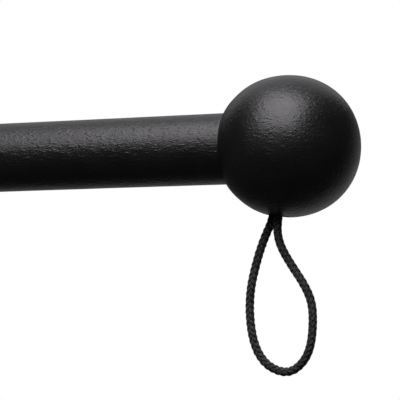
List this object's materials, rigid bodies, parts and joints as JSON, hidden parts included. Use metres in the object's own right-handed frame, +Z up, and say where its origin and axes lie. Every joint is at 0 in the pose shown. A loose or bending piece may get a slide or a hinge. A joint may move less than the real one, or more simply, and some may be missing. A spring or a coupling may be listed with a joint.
{
  "type": "devil stick",
  "caption": "Turned wooden devil stick with a ball on each end and a braided cord loop hanging from one ball.",
  "frame": {"origin": "middle of the straight grip, on the stick's axis", "axes": "+X along the stick to the ball that holds the loop, +Z up, so that the loop hangs towards -Z"},
  "size_m": [0.62, 0.05, 0.1058],
  "materials": {
    "painted_wood": "satin black paint",
    "bare_wood": "bare",
    "braided_cord": "braided"
  },
  "bodies": {
    "stick": {"shaft": "painted_wood", "loop_ball": "painted_wood", "far_ball": "painted_wood", "loop_ball_dowel": "bare_wood", "far_ball_dowel": "bare_wood", "cord_tails": "braided_cord", "cord_knot": "braided_cord"},
    "loop": {"cord_loop": "braided_cord"}
  },
  "joints": [
    {"name": "loop_swing", "type": "hinge", "parent": "stick", "child": "loop", "pos_m": [0.28085, 0, -0.0258], "axis": [1, 0, 0], "range_deg": [-65, 65]}
  ]
}
